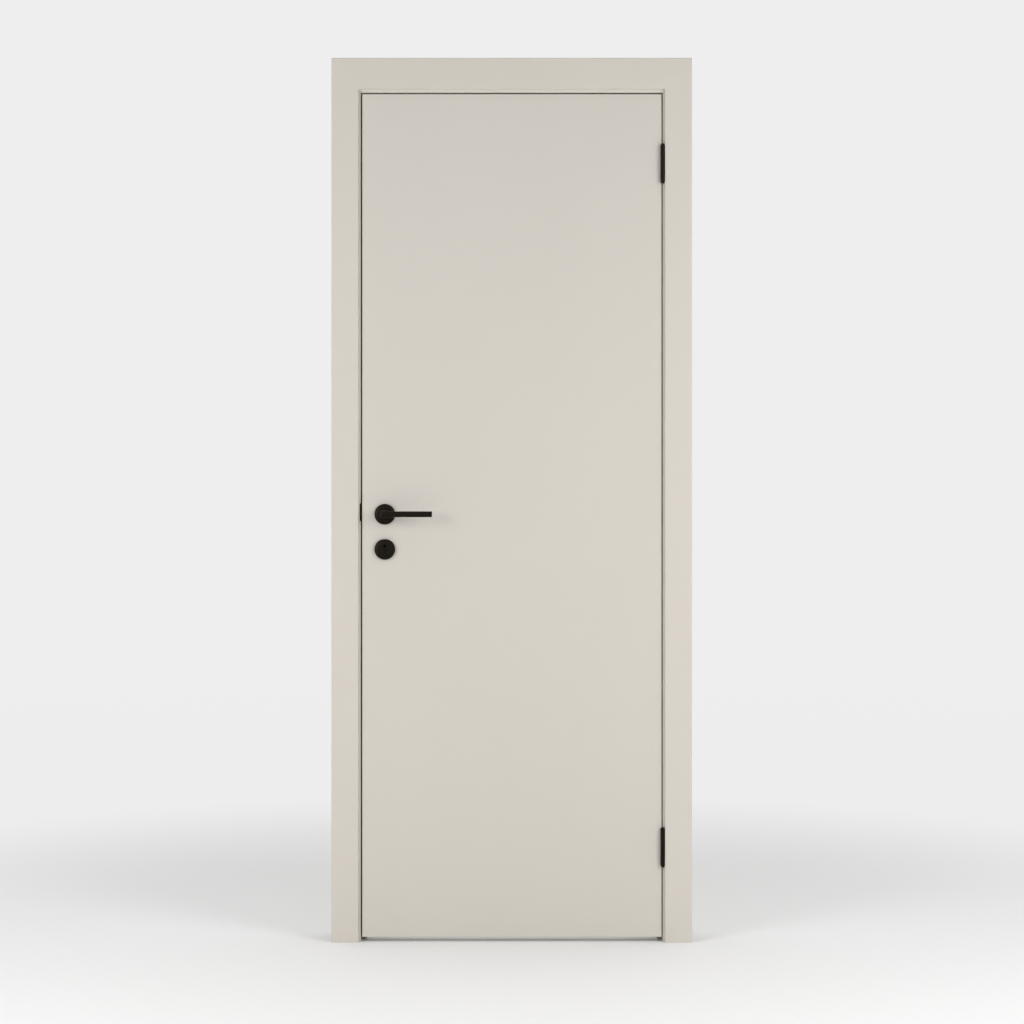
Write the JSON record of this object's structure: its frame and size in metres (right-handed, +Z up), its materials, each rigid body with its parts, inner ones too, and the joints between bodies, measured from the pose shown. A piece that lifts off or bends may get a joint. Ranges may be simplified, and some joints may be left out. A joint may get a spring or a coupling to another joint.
{
  "type": "interior door in its frame",
  "caption": "Flush lacquered interior door leaf in a rebated frame with flat architraves on both sides, butt hinges, a mortise lock and a lever handle on a round rose.",
  "frame": {"origin": "foot of the hinge jamb's outer face, halfway through the wall", "axes": "+X out of the hinge side into the wall, +Y through the wall from the side the leaf opens to, +Z up"},
  "size_m": [0.871, 0.1695, 2.138],
  "materials": {
    "leaf_lacquer": "satin warm light greige lacquer on fibreboard and pine",
    "frame_lacquer": "satin warm light greige lacquer on fibreboard",
    "core_board": "raw tubular core board",
    "seal_rubber": "matt grey-beige seal",
    "black_hardware": "satin black powder coat",
    "lock_steel": "zinc-plated steel lock case",
    "bright_steel": "nickel-plated steel bolts and spindle"
  },
  "bodies": {
    "frame": {"jamb_hinge_side": "frame_lacquer", "jamb_lock_side": "frame_lacquer", "frame_head": "frame_lacquer", "stop_hinge_side": "frame_lacquer", "stop_lock_side": "frame_lacquer", "stop_head": "frame_lacquer", "seal_hinge_side": "seal_rubber", "seal_lock_side": "seal_rubber", "seal_head": "seal_rubber", "architrave_front_hinge_side": "frame_lacquer", "architrave_front_lock_side": "frame_lacquer", "architrave_front_head": "frame_lacquer", "architrave_back_hinge_side": "frame_lacquer", "architrave_back_lock_side": "frame_lacquer", "architrave_back_head": "frame_lacquer", "strike_plate": "black_hardware", "hinge_frame_upper": "black_hardware", "hinge_frame_lower": "black_hardware", "hinge_pin_upper": "black_hardware", "hinge_pin_lower": "black_hardware"},
    "door": {"leaf_front_skin": "leaf_lacquer", "leaf_back_skin": "leaf_lacquer", "hinge_stile": "leaf_lacquer", "lock_stile": "leaf_lacquer", "bottom_rail": "leaf_lacquer", "top_rail": "leaf_lacquer", "leaf_core": "core_board", "lock_case": "lock_steel", "lock_forend": "black_hardware", "latch_bolt": "bright_steel", "deadbolt": "bright_steel", "hinge_door_upper": "black_hardware", "hinge_door_lower": "black_hardware", "front_lever_rose": "black_hardware", "back_lever_rose": "black_hardware", "front_key_rose": "black_hardware", "back_key_rose": "black_hardware"},
    "lever": {"front_lever": "black_hardware", "back_lever": "black_hardware", "lever_spindle": "bright_steel"}
  },
  "joints": [
    {"name": "door_swing", "type": "hinge", "parent": "frame", "child": "door", "pos_m": [-0.0305, -0.057, 1], "axis": [0, 0, 1], "range_deg": [0, 170]},
    {"name": "lever_turn", "type": "hinge", "parent": "door", "child": "lever", "pos_m": [-0.7025, -0.03, 1.035], "axis": [0, 1, 0], "range_deg": [0, 40], "stiffness_Nm_per_rad": 1.2, "springref_deg": -34.38}
  ]
}
